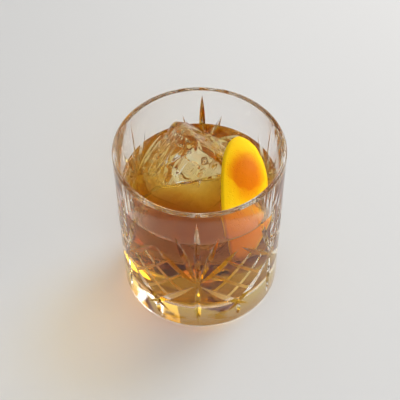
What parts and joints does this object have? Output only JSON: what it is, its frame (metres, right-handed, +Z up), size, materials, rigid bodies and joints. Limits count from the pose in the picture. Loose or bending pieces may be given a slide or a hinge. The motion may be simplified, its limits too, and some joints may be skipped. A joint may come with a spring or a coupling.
{
  "type": "old fashioned cocktail",
  "caption": "Old fashioned cocktail in a cut glass tumbler, with a block of ice and a swathe of orange peel.",
  "frame": {"origin": "centre of the glass's foot, on the plane that it stands on", "axes": "+Z up along the glass's axis, -Y towards the drinker, +X to the drinker's right"},
  "size_m": [0.084, 0.084, 0.095],
  "materials": {
    "glass": "clear, polished, cut",
    "drink": "clear amber liquid",
    "ice": "wet, clear",
    "peel": "waxy rind over pale pith"
  },
  "bodies": {
    "root": {"glass": "glass", "drink": "drink", "ice": "ice", "orange_peel": "peel"}
  },
  "joints": []
}
